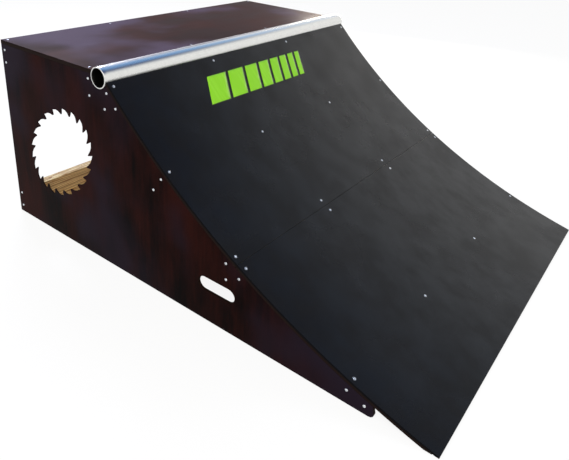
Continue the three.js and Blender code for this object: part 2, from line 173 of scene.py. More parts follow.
air = bpy.data.worlds.new("studio air")
scene.world = air
air.use_nodes = True
tree = air.node_tree
tree.nodes.clear()
towards = add(tree, "SeparateXYZ", {0: add(tree, "TexCoord").outputs["Generated"]})
band = {}
for name, (axis, start, end) in SKY_BANDS.items():
    change = add(
        tree,
        "MapRange",
        {"Value": towards.outputs[axis], "From Min": start, "From Max": end},
        interpolation_type="SMOOTHSTEP",
    )
    band[name] = change.outputs[0]
haze = add(
    tree,
    "Mix",
    {BY: band["behind"], FROM: linear(FRONT_HAZE), TO: linear(BACK_HAZE)},
    data_type="RGBA",
)
low_sky = add(
    tree,
    "Mix",
    {BY: band["painted_sheen_share"], FROM: linear(WHITE), TO: haze.outputs[MIXED]},
    data_type="RGBA",
)
blue = add(
    tree,
    "Mix",
    {BY: band["behind"], FROM: linear(FRONT_BLUE), TO: linear(BACK_BLUE)},
    data_type="RGBA",
)
sky = add(
    tree,
    "Mix",
    {BY: band["overhead"], FROM: low_sky.outputs[MIXED], TO: blue.outputs[MIXED]},
    data_type="RGBA",
)
wall = add(tree, "Math", {0: band["far behind"], 1: band["over the floor"]}, operation="MULTIPLY")
around = add(
    tree,
    "Mix",
    {BY: wall.outputs[0], FROM: sky.outputs[MIXED], TO: linear(WALL_GREY)},
    data_type="RGBA",
)
lit = add(
    tree,
    "Mix",
    {BY: seen_or_mirrored(tree), FROM: linear(ROOM_GREY), TO: around.outputs[MIXED]},
    data_type="RGBA",
)
glow = add(tree, "Background", {"Color": lit.outputs[MIXED], "Strength": 1.0})
add(tree, "OutputWorld", {"Surface": glow.outputs[0]})

for name, (size, watts, colour, place, turn) in LAMPS.items():
    lamp_data = bpy.data.lights.new(name, "AREA")
    lamp_data.shape = "RECTANGLE"
    lamp_data.size, lamp_data.size_y = size
    lamp_data.energy = watts
    lamp_data.color = linear(colour)[:3]
    lamp = bpy.data.objects.new(name, lamp_data)
    scene.collection.objects.link(lamp)
    lamp.location = place
    lamp.rotation_euler = [math.radians(t) for t in turn]

floor_data = bpy.data.meshes.new("studio_floor")
floor_corners = [(x * FLOOR_REACH, y * FLOOR_REACH, 0) for x, y in ((-1, -1), (1, -1), (1, 1), (-1, 1))]
floor_data.from_pydata(floor_corners, [], [(0, 1, 2, 3)])
floor = bpy.data.objects.new("studio_floor", floor_data)
scene.collection.objects.link(floor)
paper, tree = new_material("white paper floor")
share = add(tree, "Math", {0: seen_or_mirrored(tree), 1: PAPER_GLOW}, operation="MULTIPLY")
matt = add(tree, "BsdfDiffuse", {"Color": linear(PAPER)})
bright = add(tree, "Emission", {"Color": linear(WHITE), "Strength": 1.0})
both = add(tree, "MixShader", {0: share.outputs[0], 1: matt.outputs[0], 2: bright.outputs[0]})
add(tree, "OutputMaterial", {"Surface": both.outputs[0]})
floor_data.materials.append(paper)

# The joists: planed pine with eased edges, screwed between the side panels. Under the deck three
# stand on edge, and under the ride surface flat ones and battens follow the curve.
MM = 0.001
EARLY_WOOD = "#fdeab6"
LATE_WOOD = "#ad7a40"
BROWN_STREAK = "#8a5c2c"
KNOT_BROWN = "#6e4420"
# The tint of the painted shade on upright faces.
UPRIGHT_SHADE = "#fbe9cf"
RING_SPACING = 5.5 * MM
RING_WANDER = 50.0 * MM
WANDER_SIZE = (379.0 * MM, 50.5 * MM, 50.5 * MM)
HEART_ASIDE = 50.0 * MM
HEART_BELOW = 30.0 * MM
HEART_TAPER = 0.02
STREAK_SIZE = (833.0 * MM, 5.0 * MM, 5.0 * MM)
KNOT_SPACING = (294.0 * MM, 90.9 * MM, 90.9 * MM)
GRAIN_RELIEF = 0.15 * MM
FIBRE_TINT = 0.12
FIBRE_HEIGHT_SHARE = 0.5
# Real fibres are ten times finer. They are drawn as coarse as they need to be to show close up.
FIBRE_SIZE = (83.3 * MM, 0.5 * MM, 0.5 * MM)
JOISTS = (
    "back_top_rail",
    "back_bottom_rail",
    "deck_front_joist",
    "top_flat_joist",
    "top_batten",
    "mid_joist",
    "seam_flat_joist",
    "seam_batten",
    "nose_joist",
)


def cells(sizes):
    """The scale of a pattern whose features have these real sizes: how many lie in a metre."""
    return tuple(1 / size for size in sizes)


def planed_pine(name, heart):
    """Planed pine: rings round a heart that lies beside the joist, wandering a little down its length.

    A ring's phase is the distance from the heart in Y and Z, plus a slow noise, over the ring spacing.
    Late wood is darker, and harder, so that it stands a little proud. Brown streaks and fibres run
    along X, a few knots stain the face, and upright faces are painted darker and yellower than level
    ones, as painted shade. The heart is given as its Y and Z.
    """
    material, tree = new_material(name)
    where = add(tree, "TexCoord")
    place = where.outputs["Object"]
    drift = add(tree, "Mapping", {"Vector": place, "Scale": cells(WANDER_SIZE)})
    wander = add(tree, "TexNoise", {"Vector": drift.outputs[0], "Scale": 1.0, "Detail": 3.0})
    from_heart = add(
        tree,
        "Mapping",
        {"Vector": place, "Location": (0.0, -heart[0], -heart[1]), "Scale": (HEART_TAPER, 1.0, 1.0)},
    )
    distance = add(tree, "VectorMath", {0: from_heart.outputs[0]}, operation="LENGTH")
    bent = add(
        tree,
        "Math",
        {0: wander.outputs["Fac"], 1: RING_WANDER, 2: distance.outputs["Value"]},
        operation="MULTIPLY_ADD",
    )
    phase = add(tree, "Math", {0: bent.outputs[0], 1: RING_SPACING}, operation="DIVIDE")
    step = add(tree, "Math", {0: phase.outputs[0]}, operation="FRACT")
    late = add(
        tree,
        "MapRange",
        {"Value": step.outputs[0], "From Min": 0.4, "From Max": 0.95},
        interpolation_type="SMOOTHSTEP",
    )
    wood = add(
        tree,
        "Mix",
        {BY: late.outputs[0], FROM: linear(EARLY_WOOD), TO: linear(LATE_WOOD)},
        data_type="RGBA",
    )
    streak_place = add(tree, "Mapping", {"Vector": place, "Scale": cells(STREAK_SIZE)})
    streak = add(
        tree,
        "TexNoise",
        {"Vector": streak_place.outputs[0], "Scale": 1.0, "Detail": 3.0, "Roughness": 0.6},
    )
    brown = add(
        tree,
        "MapRange",
        {"Value": streak.outputs["Fac"], "From Min": 0.42, "From Max": 0.68, "To Max": 0.6},
        interpolation_type="SMOOTHSTEP",
    )
    streaked = add(
        tree,
        "Mix",
        {BY: brown.outputs[0], FROM: wood.outputs[MIXED], TO: linear(BROWN_STREAK)},
        data_type="RGBA",
    )
    facing = add(tree, "SeparateXYZ", {0: where.outputs["Normal"]})
    level = add(tree, "Math", {0: facing.outputs["Z"]}, operation="ABSOLUTE")
    # Painted shade: upright faces are made darker and yellower than level ones.
    upright_shade = add(
        tree,
        "Mix",
        {BY: level.outputs[0], FROM: linear(UPRIGHT_SHADE), TO: linear(WHITE)},
        data_type="RGBA",
    )
    shaded_wood = add(
        tree,
        "Mix",
        {BY: 1.0, FROM: streaked.outputs[MIXED], TO: upright_shade.outputs[MIXED]},
        data_type="RGBA",
        blend_type="MULTIPLY",
    )
    fibre_place = add(tree, "Mapping", {"Vector": place, "Scale": cells(FIBRE_SIZE)})
    fibre = add(tree, "TexNoise", {"Vector": fibre_place.outputs[0], "Scale": 1.0, "Detail": 2.0})
    toned = add(
        tree,
        "Mix",
        {BY: FIBRE_TINT, FROM: shaded_wood.outputs[MIXED], TO: fibre.outputs["Color"]},
        data_type="RGBA",
        blend_type="MULTIPLY",
    )
    knot_place = add(tree, "Mapping", {"Vector": place, "Scale": cells(KNOT_SPACING)})
    knot = add(tree, "TexVoronoi", {"Vector": knot_place.outputs[0], "Scale": 1.0})
    stain = add(
        tree,
        "MapRange",
        {
            "Value": knot.outputs["Distance"],
            "From Min": 0.05,
            "From Max": 0.13,
            "To Min": 0.75,
            "To Max": 0.0,
        },
        interpolation_type="SMOOTHSTEP",
    )
    stained = add(
        tree,
        "Mix",
        {BY: stain.outputs[0], FROM: toned.outputs[MIXED], TO: linear(KNOT_BROWN)},
        data_type="RGBA",
    )
    sheen = add(tree, "MapRange", {"Value": late.outputs[0], "To Min": 0.72, "To Max": 0.55})
    relief = add(
        tree,
        "Math",
        {0: fibre.outputs["Fac"], 1: FIBRE_HEIGHT_SHARE, 2: late.outputs[0]},
        operation="MULTIPLY_ADD",
    )
    bump = add(tree, "Bump", {"Strength": 0.35, "Distance": GRAIN_RELIEF, "Height": relief.outputs[0]})
    shader = add(
        tree,
        "BsdfPrincipled",
        {
            "Base Color": stained.outputs[MIXED],
            "Roughness": sheen.outputs[0],
            "IOR": 1.5,
            "Specular IOR Level": 0.3,
            "Normal": bump.outputs[0],
        },
    )
    add(tree, "OutputMaterial", {"Surface": shader.outputs[0]})
    return material


def dress(node, material):
    """Gives a CAD node that keeps its own shape its finish."""
    node.data.materials.clear()
    node.data.materials.append(material)


for joist_name in JOISTS:
    low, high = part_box(joist_name)
    heart = ((low[1] + high[1]) / 2 + HEART_ASIDE, low[2] - HEART_BELOW)
    dress(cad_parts[joist_name], planed_pine("planed pine " + joist_name.replace("_", " "), heart))

# The side panels: 9 mm birch plywood faced with a brown phenolic film, cut on a router. The edges
# are sealed dark and lightly sanded, so that each catches a thin line of light.
PANEL_EASE = 0.6 * MM
VENEER = 1.3 * MM
# The film's two browns, and a cooler purple for its painted sheen of the sky's reflection.
BROWN_FILM = ("#050101", "#270c08", "#1f1721")
EDGE_SEALER = ("#120a08", "#21140f")
FILM_DUST = "#8d8078"
EDGE_ROUGHNESS = 0.6
FILM_RELIEF = 0.1 * MM
PATCH_WEIGHT = 3.0
# The size of the patches of painted sheen, a cooler colour that stands for the sky's reflection.
PAINTED_SHEEN_SIZE = 417.0 * MM
# Real dust is far finer. It is drawn as coarse as it needs to be to show as specks.
DUST_SIZE = 2.38 * MM
# Patches and grain are long along Z in a sheet that stands across X, and along X in a level one.
PATCH_SIZE = {
    "X": (111.0 * MM, 111.0 * MM, 286.0 * MM),
    "Z": (286.0 * MM, 167.0 * MM, 167.0 * MM),
}
GRAIN_SIZE = {
    "X": (11.9 * MM, 11.9 * MM, 178.6 * MM),
    "Z": (178.6 * MM, 11.9 * MM, 11.9 * MM),
}
MERGE_DISTANCE = 0.01 * MM
FLAT_ANGLE = math.radians(0.2)
SMOOTH_ANGLE = math.radians(28)
EASED_ANGLE = math.radians(50)


def film_faced_plywood(name, film, across_axis, level, rough, painted_sheen_shift, bend_centre=None):
    """Plywood under a phenolic film: a smooth dark face, mottled, in which the grain shows faintly.

    The film has two browns that drift into each other, and a third colour over them in patches: on
    the faced sheets a cooler painted sheen, which stands for the sky's reflection. The face is where
    the surface looks along across_axis, and the rest is the sealed edge, whose plies show as bands one
    veneer wide. In a bent sheet the bands follow the bend's centre in the side view. Level is the
    specular level, rough the range of roughness, and the shift moves the patches of painted sheen.
    """
    material, tree = new_material(name)
    where = add(tree, "TexCoord")
    place = where.outputs["Object"]
    facing = add(tree, "SeparateXYZ", {0: where.outputs["Normal"]})
    turned = add(tree, "Math", {0: facing.outputs[across_axis]}, operation="ABSOLUTE")
    face = add(tree, "MapRange", {"Value": turned.outputs[0], "From Min": 0.75, "From Max": 0.95})
    patch_place = add(tree, "Mapping", {"Vector": place, "Scale": cells(PATCH_SIZE[across_axis])})
    cloud = add(
        tree,
        "TexNoise",
        {"Vector": patch_place.outputs[0], "Scale": 1.0, "Detail": 4.0, "Roughness": 0.55},
    )
    grain_place = add(tree, "Mapping", {"Vector": place, "Scale": cells(GRAIN_SIZE[across_axis])})
    grain = add(
        tree,
        "TexNoise",
        {"Vector": grain_place.outputs[0], "Scale": 1.0, "Detail": 5.0, "Roughness": 0.65},
    )
    mottle = add(
        tree,
        "Math",
        {0: cloud.outputs["Fac"], 1: PATCH_WEIGHT, 2: grain.outputs["Fac"]},
        operation="MULTIPLY_ADD",
    )
    tone = add(tree, "MapRange", {"Value": mottle.outputs[0], "From Min": 1.55, "From Max": 2.45})
    brown = add(
        tree,
        "Mix",
        {BY: tone.outputs[0], FROM: linear(film[0]), TO: linear(film[1])},
        data_type="RGBA",
    )
    # Painted sheen: a third colour laid over the film in patches, standing for the sky's reflection.
    painted_sheen_place = add(tree, "Mapping", {"Vector": place, "Location": painted_sheen_shift})
    haze = add(tree, "TexNoise", {"Vector": painted_sheen_place.outputs[0], "Scale": 1 / PAINTED_SHEEN_SIZE, "Detail": 3.0})
    painted_sheen_share = add(
        tree,
        "MapRange",
        {"Value": haze.outputs["Fac"], "From Min": 0.46, "From Max": 0.66},
        interpolation_type="SMOOTHSTEP",
    )
    film_and_sheen = add(
        tree,
        "Mix",
        {BY: painted_sheen_share.outputs[0], FROM: brown.outputs[MIXED], TO: linear(film[2])},
        data_type="RGBA",
    )
    speck = add(tree, "TexNoise", {"Vector": place, "Scale": 1 / DUST_SIZE, "Detail": 1.0})
    dusty = add(
        tree,
        "MapRange",
        {"Value": speck.outputs["Fac"], "From Min": 0.68, "From Max": 0.8, "To Max": 0.06},
    )
    dusted = add(
        tree,
        "Mix",
        {BY: dusty.outputs[0], FROM: film_and_sheen.outputs[MIXED], TO: linear(FILM_DUST)},
        data_type="RGBA",
    )
    if bend_centre is None:
        through = add(tree, "SeparateXYZ", {0: place}).outputs[across_axis]
    else:
        to_centre = (0.0, -bend_centre[0], -bend_centre[1])
        spoke = add(tree, "Mapping", {"Vector": place, "Location": to_centre, "Scale": (0.0, 1.0, 1.0)})
        through = add(tree, "VectorMath", {0: spoke.outputs[0]}, operation="LENGTH").outputs["Value"]
    ply = add(tree, "Math", {0: through, 1: 2 * VENEER}, operation="DIVIDE")
    phase = add(tree, "Math", {0: ply.outputs[0]}, operation="FRACT")
    banded = add(
        tree,
        "MapRange",
        {"Value": phase.outputs[0], "From Min": 0.4, "From Max": 0.6},
        interpolation_type="SMOOTHSTEP",
    )
    edge_colour = add(
        tree,
        "Mix",
        {BY: banded.outputs[0], FROM: linear(EDGE_SEALER[0]), TO: linear(EDGE_SEALER[1])},
        data_type="RGBA",
    )
    colour = add(
        tree,
        "Mix",
        {BY: face.outputs[0], FROM: edge_colour.outputs[MIXED], TO: dusted.outputs[MIXED]},
        data_type="RGBA",
    )
    gloss = add(
        tree,
        "MapRange",
        {
            "Value": cloud.outputs["Fac"],
            "From Min": 0.3,
            "From Max": 0.7,
            "To Min": rough[0],
            "To Max": rough[1],
        },
    )
    edged = add(
        tree,
        "MapRange",
        {"Value": face.outputs[0], "To Min": EDGE_ROUGHNESS, "To Max": gloss.outputs[0]},
    )
    bump = add(tree, "Bump", {"Strength": 0.25, "Distance": FILM_RELIEF, "Height": grain.outputs["Fac"]})
    shader = add(
        tree,
        "BsdfPrincipled",
        {
            "Base Color": colour.outputs[MIXED],
            "Roughness": edged.outputs[0],
            "IOR": 1.5,
            "Specular IOR Level": level,
            "Normal": bump.outputs[0],
        },
    )
    add(tree, "OutputMaterial", {"Surface": shader.outputs[0]})
    return material


def eased_copy(node_name, name, ease, material):
    """The node's own form, its loose triangles merged and flat faces joined, with its edges eased."""
    mesh = bpy.data.meshes.new(name)
    shape = bmesh.new()
    shape.from_mesh(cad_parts[node_name].data)
    bmesh.ops.remove_doubles(shape, verts=shape.verts, dist=MERGE_DISTANCE)
    bmesh.ops.dissolve_limit(shape, angle_limit=FLAT_ANGLE, verts=shape.verts, edges=shape.edges)
    for face in shape.faces:
        face.smooth = True
    for edge in shape.edges:
        edge.smooth = edge.is_manifold and edge.calc_face_angle() < SMOOTH_ANGLE
    shape.to_mesh(mesh)
    shape.free()
    piece = bpy.data.objects.new(name, mesh)
    scene.collection.objects.link(piece)
    mesh.materials.append(material)
    bevel = piece.modifiers.new("eased edges", "BEVEL")
    bevel.width = ease
    bevel.segments = 2
    bevel.limit_method = "ANGLE"
    bevel.angle_limit = EASED_ANGLE
    bevel.harden_normals = True
    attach(piece, "root")
    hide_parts(node_name)
    return piece


brown_film = film_faced_plywood(
    "brown film faced plywood",
    BROWN_FILM,
    across_axis="X",
    level=0.015,
    rough=(0.3, 0.42),
    painted_sheen_shift=(0.0, 3.7, 1.2),
)
for side in ("left", "right"):
    panel = eased_copy("side_panel_" + side, "film_ply_panel_" + side, PANEL_EASE, brown_film)

# The underlay: bending plywood, stained dark, screwed down under the ride surface and bent to the
# same centre. Only its edges and its underside show.
DARK_STAIN = ("#20130f", "#342018", "#2b1c16")
# The arc's centre, as its setback from the back edge and its height.
ARC_CENTRE = (2005.522 * MM, 2048.1 * MM)
back_edge = cad_box[1][1]
dark_ply = film_faced_plywood(
    "dark stained bending plywood",
    DARK_STAIN,
    across_axis="Z",
    level=0.04,
    rough=(0.55, 0.7),
    painted_sheen_shift=(0.0, 0.0, 0.0),
    bend_centre=(back_edge - ARC_CENTRE[0], ARC_CENTRE[1]),
)
for layer in ("upper", "lower"):
    dress(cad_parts["underlay_" + layer], dark_ply)

# The ride surface: two sheets of 6 mm black resin and paper laminate, bent over the joists and
# butted at a seam. The screws stand in countersunk seats, and the toe is planed level underneath.
ARC_RADIUS = 2098.0 * MM
HALF_WIDTH = 600.0 * MM
SHEET_THICKNESS = 6.0 * MM
SHEET_EASE = 0.5 * MM
SEAM_HALF = 0.5 * MM
# Where the sheets end, as turns in radians from straight down.
COPING_END_TURN = 0.794477
SEAM_TURN = 0.513657
TOE_TURN = 0.227165
SEAT_RIM = 4.3 * MM
SEAT_SHANK = 2.4 * MM
SEAT_DEPTH = 2.6 * MM
SEAT_DEPTH_SHARE = 0.8
SCREW_INSET = 14.0 * MM
SCREWS_IN_ROW = 4
RIDE_SCREW_SETBACKS = (519.47 * MM, 726.7 * MM, 957.7 * MM, 991.66 * MM, 1314.77 * MM)
# The grid: its even lines, those near an edge and a seat, and the room that the even ones leave them.
SHEET_SPACING = (9.0 * MM, 60.0 * MM)
EDGE_LINE_SHARES = np.array([0, 0.12, 0.4, 1, 1.8])
SEAT_LINE_SHARES = np.linspace(-1.3, 1.3, 15)
EDGE_ROOM_SHARE = 2.5
SEAT_ROOM_SHARE = 1.6
LAMINATE_BLACK = ("#030303", "#090807")
LAMINATE_DUST = "#6c665f"
LAMINATE_CORE = "#0c0b0d"
CORE_ROUGHNESS = 0.75
CORE_LEVEL = 0.04
CLOUD_SIZE = 385.0 * MM
RUB_SIZE = (76.9 * MM, 111.0 * MM, 111.0 * MM)
STIPPLE_RELIEF = 0.12 * MM
# The real stipple is finer. It is drawn as coarse as it needs to be to break up the gloss.
STIPPLE_SIZE = 1.43 * MM
screw_columns = np.linspace(-HALF_WIDTH + SCREW_INSET, HALF_WIDTH - SCREW_INSET, SCREWS_IN_ROW)


def on_arc(turn, above):
    """Points over the ride arc, as Y and Z, at a turn from straight down and a height above the arc.

    With the radius less the height as reach, Y is the centre's plus reach times the turn's sine, and Z
    is the centre's less reach times its cosine.
    """
    reach = ARC_RADIUS - above
    setback = ARC_CENTRE[0] - reach * np.sin(turn)
    return back_edge - setback, ARC_CENTRE[1] - reach * np.cos(turn)


def turn_at(setback):
    """The turn from straight down at which the ride arc has this setback from the back edge."""
    return np.arcsin((ARC_CENTRE[0] - setback) / ARC_RADIUS)


def arc_path(from_turn):
    """The path of a sheet on the ride arc: its turn falls by the distance over the radius."""

    def path(distance):
        turn = from_turn - distance / ARC_RADIUS
        y, z = on_arc(turn, 0)
        return y, z, -np.sin(turn), np.cos(turn)

    return path


def lines(length, spacing, ease, stops):
    """Grid lines over a length: evenly spaced, drawn together at both edges and round each stop."""
    stops = np.array(stops)[:, None]
    near = EDGE_LINE_SHARES * ease
    even = np.linspace(0, length, max(2, int(length / spacing)))[1:-1]
    apart = np.min(np.abs(even - stops), axis=0)
    from_ends = np.minimum(even, length - even)
    even = even[(apart > SEAT_ROOM_SHARE * SEAT_RIM) & (from_ends > EDGE_ROOM_SHARE * ease)]
    close = (stops + SEAT_LINE_SHARES * SEAT_RIM).ravel()
    return np.unique(np.concatenate([near, length - near, even, close]))


def surface(name, points, faces, material):
    """A smooth mesh object from arrays of points and of four-cornered faces."""
    mesh = bpy.data.meshes.new(name)
    mesh.vertices.add(len(points))
    mesh.vertices.foreach_set("co", points.astype(np.float32).ravel())
    mesh.loops.add(faces.size)
    mesh.loops.foreach_set("vertex_index", faces.astype(np.int32).ravel())
    mesh.polygons.add(len(faces))
    mesh.polygons.foreach_set("loop_start", np.arange(0, faces.size, 4, dtype=np.int32))
    mesh.update(calc_edges=True)
    mesh.validate()
    mesh.polygons.foreach_set("use_smooth", np.ones(len(mesh.polygons), dtype=bool))
    mesh.materials.append(material)
    piece = bpy.data.objects.new(name, mesh)
    scene.collection.objects.link(piece)
    return piece


def quads(*corners):
    """Four-cornered faces from four arrays of their corners' numbers."""
    return np.stack([corner.ravel() for corner in corners], axis=1)


def eased_sheet(name, path, size, thickness, spacing, ease, seats, material):
    """A closed sheet on a grid, on a path in the side view.

    The path gives, for distances down it, the Y and Z of the point and of the way the face looks. Size
    is the X the sheet starts from, its length down the path and its width. Spacing is the grid's, down
    and over, and seats are the screws' distances down the path and their places in X.
    A point of the upper face lies on the path at its distance down the sheet, sunk by the cone of any
    seat it is in: rim radius less the distance to the seat, times the cone's slope, up to its depth.
    Towards all four edges each face draws in on a quarter circle, by ease less the root of ease
    squared less (ease less the distance to the edge) squared. Nothing goes under the floor.
    """
    from_x, length, width = size
    rows, columns = seats
    u = lines(length, spacing[0], ease, rows)
    v = lines(width, spacing[1], ease, [c - from_x for c in columns])
    along, over = np.meshgrid(u, v, indexing="ij")
    to_edge = np.minimum(np.minimum(along, length - along), np.minimum(over, width - over))
    inset = ease - np.sqrt(ease**2 - np.clip(ease - to_edge, 0, ease) ** 2)
    slope = SEAT_DEPTH / (SEAT_RIM - SEAT_SHANK)
    deepest = min(SEAT_DEPTH, SEAT_DEPTH_SHARE * thickness)
    sunk = inset
    for row in rows:
        for column in columns:
            away = np.hypot(along - row, over - (column - from_x))
            sunk = np.maximum(sunk, np.clip((SEAT_RIM - away) * slope, 0, deepest))
    y, z, ny, nz = path(along)
    upper = np.stack([from_x + over, y - ny * sunk, z - nz * sunk], axis=-1)
    under = thickness - inset
    lower = np.stack([from_x + over, y - ny * under, np.maximum(z - nz * under, 0)], axis=-1)
    index = np.arange(along.size).reshape(along.shape)
    other = index + along.size
    faces = [
        quads(index[:-1, :-1], index[1:, :-1], index[1:, 1:], index[:-1, 1:]),
        quads(other[:-1, :-1], other[:-1, 1:], other[1:, 1:], other[1:, :-1]),
        quads(index[:-1, 0], other[:-1, 0], other[1:, 0], index[1:, 0]),
        quads(index[:-1, -1], index[1:, -1], other[1:, -1], other[:-1, -1]),
        quads(index[0, :-1], index[0, 1:], other[0, 1:], other[0, :-1]),
        quads(index[-1, :-1], other[-1, :-1], other[-1, 1:], index[-1, 1:]),
    ]
    points = np.concatenate([upper.reshape(-1, 3), lower.reshape(-1, 3)])
    return surface(name, points, np.concatenate(faces), material)


def black_laminate(name):
    """Resin and paper laminate: black, satin, with a fine stipple, and with dust in rubbed patches.

    The edges that look along X show the raw core, which is dull.
    """
    material, tree = new_material(name)
    where = add(tree, "TexCoord")
    place = where.outputs["Object"]
    facing = add(tree, "SeparateXYZ", {0: where.outputs["Normal"]})
    turned = add(tree, "Math", {0: facing.outputs["X"]}, operation="ABSOLUTE")
    edge = add(tree, "MapRange", {"Value": turned.outputs[0], "From Min": 0.15, "From Max": 0.5})
    cloud = add(
        tree,
        "TexNoise",
        {"Vector": place, "Scale": 1 / CLOUD_SIZE, "Detail": 5.0, "Roughness": 0.6},
    )
    rub_place = add(tree, "Mapping", {"Vector": place, "Scale": cells(RUB_SIZE)})
    rub = add(
        tree,
        "TexNoise",
        {"Vector": rub_place.outputs[0], "Scale": 1.0, "Detail": 6.0, "Roughness": 0.62},
    )
    black = add(
        tree,
        "Mix",
        {BY: cloud.outputs["Fac"], FROM: linear(LAMINATE_BLACK[0]), TO: linear(LAMINATE_BLACK[1])},
        data_type="RGBA",
    )
    rubbed = add(
        tree,
        "MapRange",
        {"Value": rub.outputs["Fac"], "From Min": 0.36, "From Max": 0.72, "To Max": 0.036},
    )
    worn = add(
        tree,
        "Mix",
        {BY: rubbed.outputs[0], FROM: black.outputs[MIXED], TO: linear(LAMINATE_DUST)},
        data_type="RGBA",
    )
    colour = add(
        tree,
        "Mix",
        {BY: edge.outputs[0], FROM: worn.outputs[MIXED], TO: linear(LAMINATE_CORE)},
        data_type="RGBA",
    )
    gloss = add(
        tree,
        "MapRange",
        {"Value": cloud.outputs["Fac"], "From Min": 0.3, "From Max": 0.7, "To Min": 0.22, "To Max": 0.32},
    )
    edged = add(
        tree,
        "MapRange",
        {"Value": edge.outputs[0], "To Min": gloss.outputs[0], "To Max": CORE_ROUGHNESS},
    )
    dulled = add(
        tree,
        "MapRange",
        {"Value": rub.outputs["Fac"], "From Min": 0.38, "From Max": 0.62, "To Min": 0.46, "To Max": 0.28},
    )
    sheen = add(
        tree,
        "MapRange",
        {"Value": edge.outputs[0], "To Min": dulled.outputs[0], "To Max": CORE_LEVEL},
    )
    stipple = add(tree, "TexNoise", {"Vector": place, "Scale": 1 / STIPPLE_SIZE, "Detail": 2.0})
    bump = add(
        tree,
        "Bump",
        {"Strength": 0.3, "Distance": STIPPLE_RELIEF, "Height": stipple.outputs["Fac"]},
    )
    shader = add(
        tree,
        "BsdfPrincipled",
        {
            "Base Color": colour.outputs[MIXED],
            "Roughness": edged.outputs[0],
            "IOR": 1.5,
            "Specular IOR Level": sheen.outputs[0],
            "Normal": bump.outputs[0],
        },
    )
    add(tree, "OutputMaterial", {"Surface": shader.outputs[0]})
    return material


laminate = black_laminate("black resin and paper laminate")
sheets = {
    "upper": (COPING_END_TURN, SEAM_TURN + SEAM_HALF / ARC_RADIUS, RIDE_SCREW_SETBACKS[:3]),
    "lower": (SEAM_TURN - SEAM_HALF / ARC_RADIUS, TOE_TURN, RIDE_SCREW_SETBACKS[3:]),
}
for part, (start, end, setbacks) in sheets.items():
    rows = [float((start - turn_at(s)) * ARC_RADIUS) for s in setbacks]
    sheet = eased_sheet(
        "laminate_sheet_" + part,
        arc_path(start),
        (-HALF_WIDTH, (start - end) * ARC_RADIUS, 2 * HALF_WIDTH),
        SHEET_THICKNESS,
        SHEET_SPACING,
        SHEET_EASE,
        (rows, screw_columns),
        laminate,
    )
    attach(sheet, "root")
    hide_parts("ride_sheet_" + part)

# The deck: a 12 mm sheet of film faced plywood, with a paler film than the sides under a purple
# painted sheen in patches, screwed to the back rail and to the joist behind the coping.
DECK_TOP = 600.0 * MM
DECK_DEPTH = 448.15 * MM
DECK_THICKNESS = 12.0 * MM
DECK_SPACING = (40.0 * MM, 60.0 * MM)
DECK_SCREW_ROWS = (17.5 * MM, 421.15 * MM)
# The film's two browns, and a lavender for its painted sheen of the sky's reflection.
PURPLE_FILM = ("#240c08", "#3b1c16", "#4b3e50")


def deck_path(distance):
    """The deck's path: level, forward from the back edge."""
    level = np.full_like(distance, DECK_TOP)
    return back_edge - distance, level, np.zeros_like(distance), np.ones_like(distance)


purple_film = film_faced_plywood(
    "purple brown film faced plywood",
    PURPLE_FILM,
    across_axis="Z",
    level=0.035,
    rough=(0.3, 0.42),
    painted_sheen_shift=(1.8, 1.9, 0.7),
)
deck = eased_sheet(
    "film_ply_deck",
    deck_path,
    (-HALF_WIDTH, DECK_DEPTH, 2 * HALF_WIDTH),
    DECK_THICKNESS,
    DECK_SPACING,
    SHEET_EASE,
    (list(DECK_SCREW_ROWS), screw_columns),
    purple_film,
)
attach(deck, "root")
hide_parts("deck_panel")

# The coping: a galvanised steel pipe that the trucks grind on, with open ends, welded to three tabs
# that are screwed to the joist behind it. Its colour is lighter where it faces up.
PIPE_SETBACK = 478.6 * MM
PIPE_HEIGHT = 584.85 * MM
PIPE_RADIUS = 30.15 * MM
PIPE_WALL = 3.6 * MM
PIPE_HALF_LENGTH = 605.0 * MM
PIPE_EASE = 0.8 * MM
PIPE_SIDES = 96
PIPE_RINGS = 30
RING_REACH_SHARE = 0.98
RIM_SHARES = np.array([1, 0.3, 0])
BORE_START_SHARE = 0.8
TAB_X = (-400.0 * MM, 0.0, 400.0 * MM)
TAB_WIDTH = 40.0 * MM
TAB_THICKNESS = 4.0 * MM
TAB_BACK = 448.45 * MM
TAB_TOP = 576.85 * MM
TAB_FOOT = 518.85 * MM
TAB_SPACING = (8.0 * MM, 8.0 * MM)
TAB_SCREW_HEIGHTS = (529.85 * MM, 555.85 * MM)
ZINC_SPANGLE = ("#e0e0dd", "#e8e8e4")
STEEL_FACING_UP = "#f0f0ec"
SHADED_BORE = "#6b6a67"
SPANGLE_SIZE = 7.14 * MM
HANDLED_SIZE = (500.0 * MM, 40.0 * MM, 40.0 * MM)
DRAWN_RELIEF = 0.03 * MM
# The lines that drawing leaves are finer. They are drawn as coarse as they need to be to show.
DRAWN_LINE_SIZE = (250.0 * MM, 2.0 * MM, 2.0 * MM)


